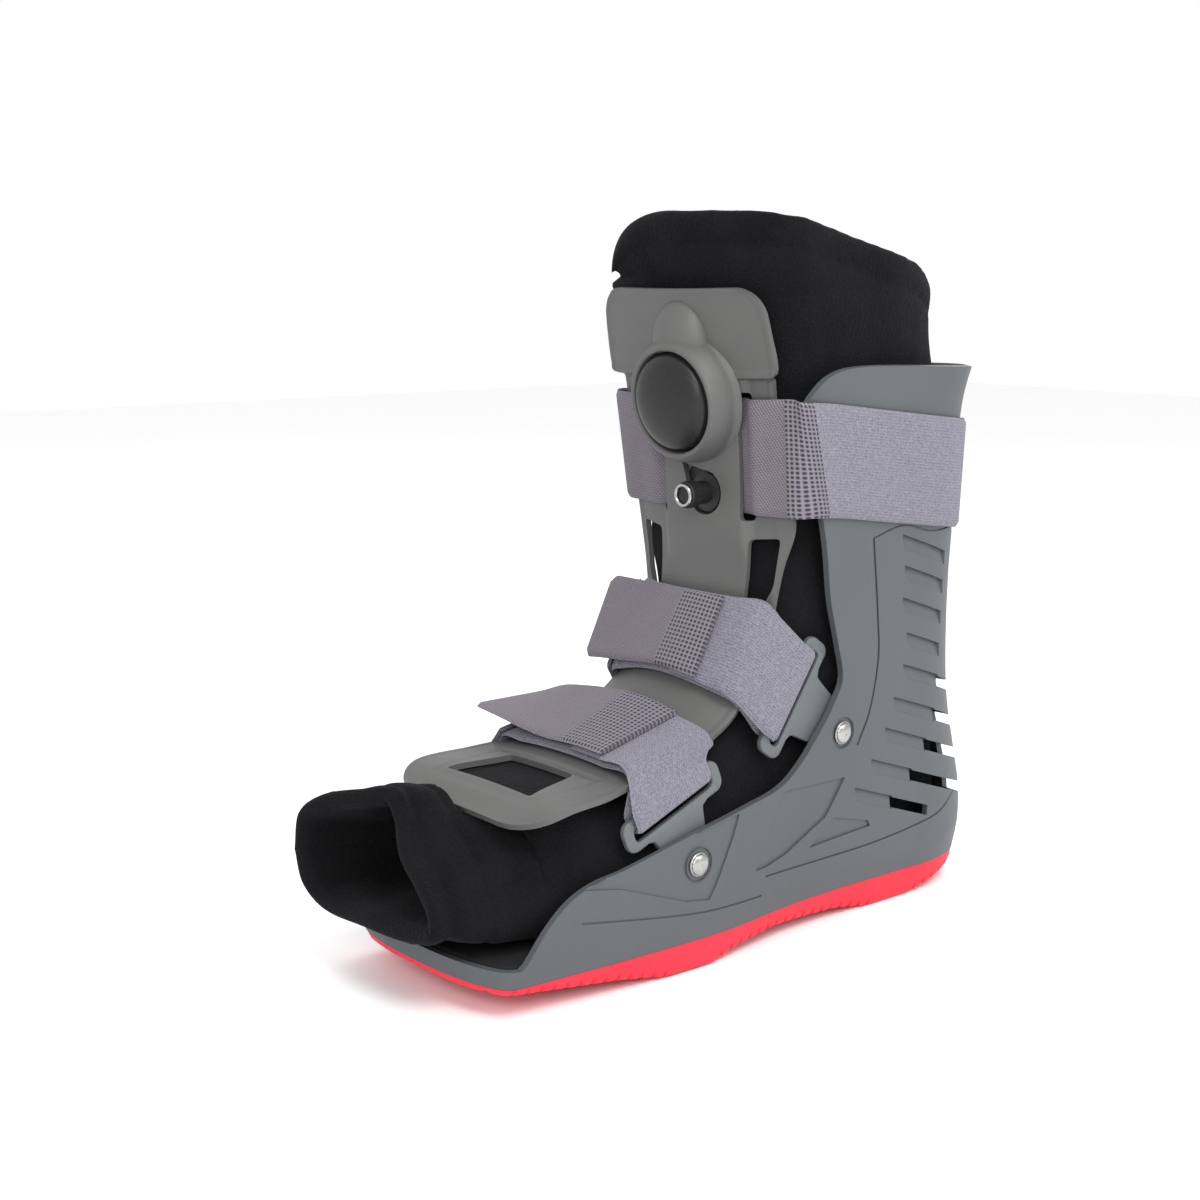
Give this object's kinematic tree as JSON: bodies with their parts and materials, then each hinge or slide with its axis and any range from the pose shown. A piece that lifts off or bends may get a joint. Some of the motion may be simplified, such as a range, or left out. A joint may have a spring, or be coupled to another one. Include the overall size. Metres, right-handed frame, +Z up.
{
  "type": "medical walking boot",
  "caption": "Short pneumatic walking boot: rigid shell on a rocker sole, padded open-toed liner, front panel with a hand pump, hook-and-loop straps.",
  "frame": {"origin": "middle of the boot's box, on the ground under the sole", "axes": "+Z up, toe towards -Y, heel towards +Y, +X towards the wearer's left"},
  "size_m": [0.1244, 0.3174, 0.305],
  "materials": {
    "shell_plastic": "fine matt texture, mid grey",
    "panel_plastic": "fine matt texture, mid grey, a little warmer than the shell",
    "loop_plastic": "satin moulded plastic",
    "sole_rubber": "matt bright red",
    "insole_foam": "matt black foam",
    "liner_cloth": "black brushed knit over foam, bound edges",
    "strap_webbing": "lilac grey hook-and-loop webbing",
    "pump_rubber": "satin black",
    "valve_plastic": "black, knurled",
    "rivet_steel": "bright polished"
  },
  "bodies": {
    "root": {"shell": "shell_plastic", "outsole": "sole_rubber", "footbed": "insole_foam", "liner": "liner_cloth", "front_panel": "panel_plastic", "pump_bulb": "pump_rubber", "valve_body": "valve_plastic", "valve_ring": "rivet_steel", "ankle_loop_left": "loop_plastic", "ankle_rivet_left": "rivet_steel", "ankle_loop_right": "loop_plastic", "ankle_rivet_right": "rivet_steel", "ankle_strap": "strap_webbing", "ankle_tab": "strap_webbing", "forefoot_loop_left": "loop_plastic", "forefoot_rivet_left": "rivet_steel", "forefoot_loop_right": "loop_plastic", "forefoot_rivet_right": "rivet_steel", "forefoot_strap": "strap_webbing", "forefoot_tab": "strap_webbing", "calf_strap": "strap_webbing"}
  },
  "joints": []
}
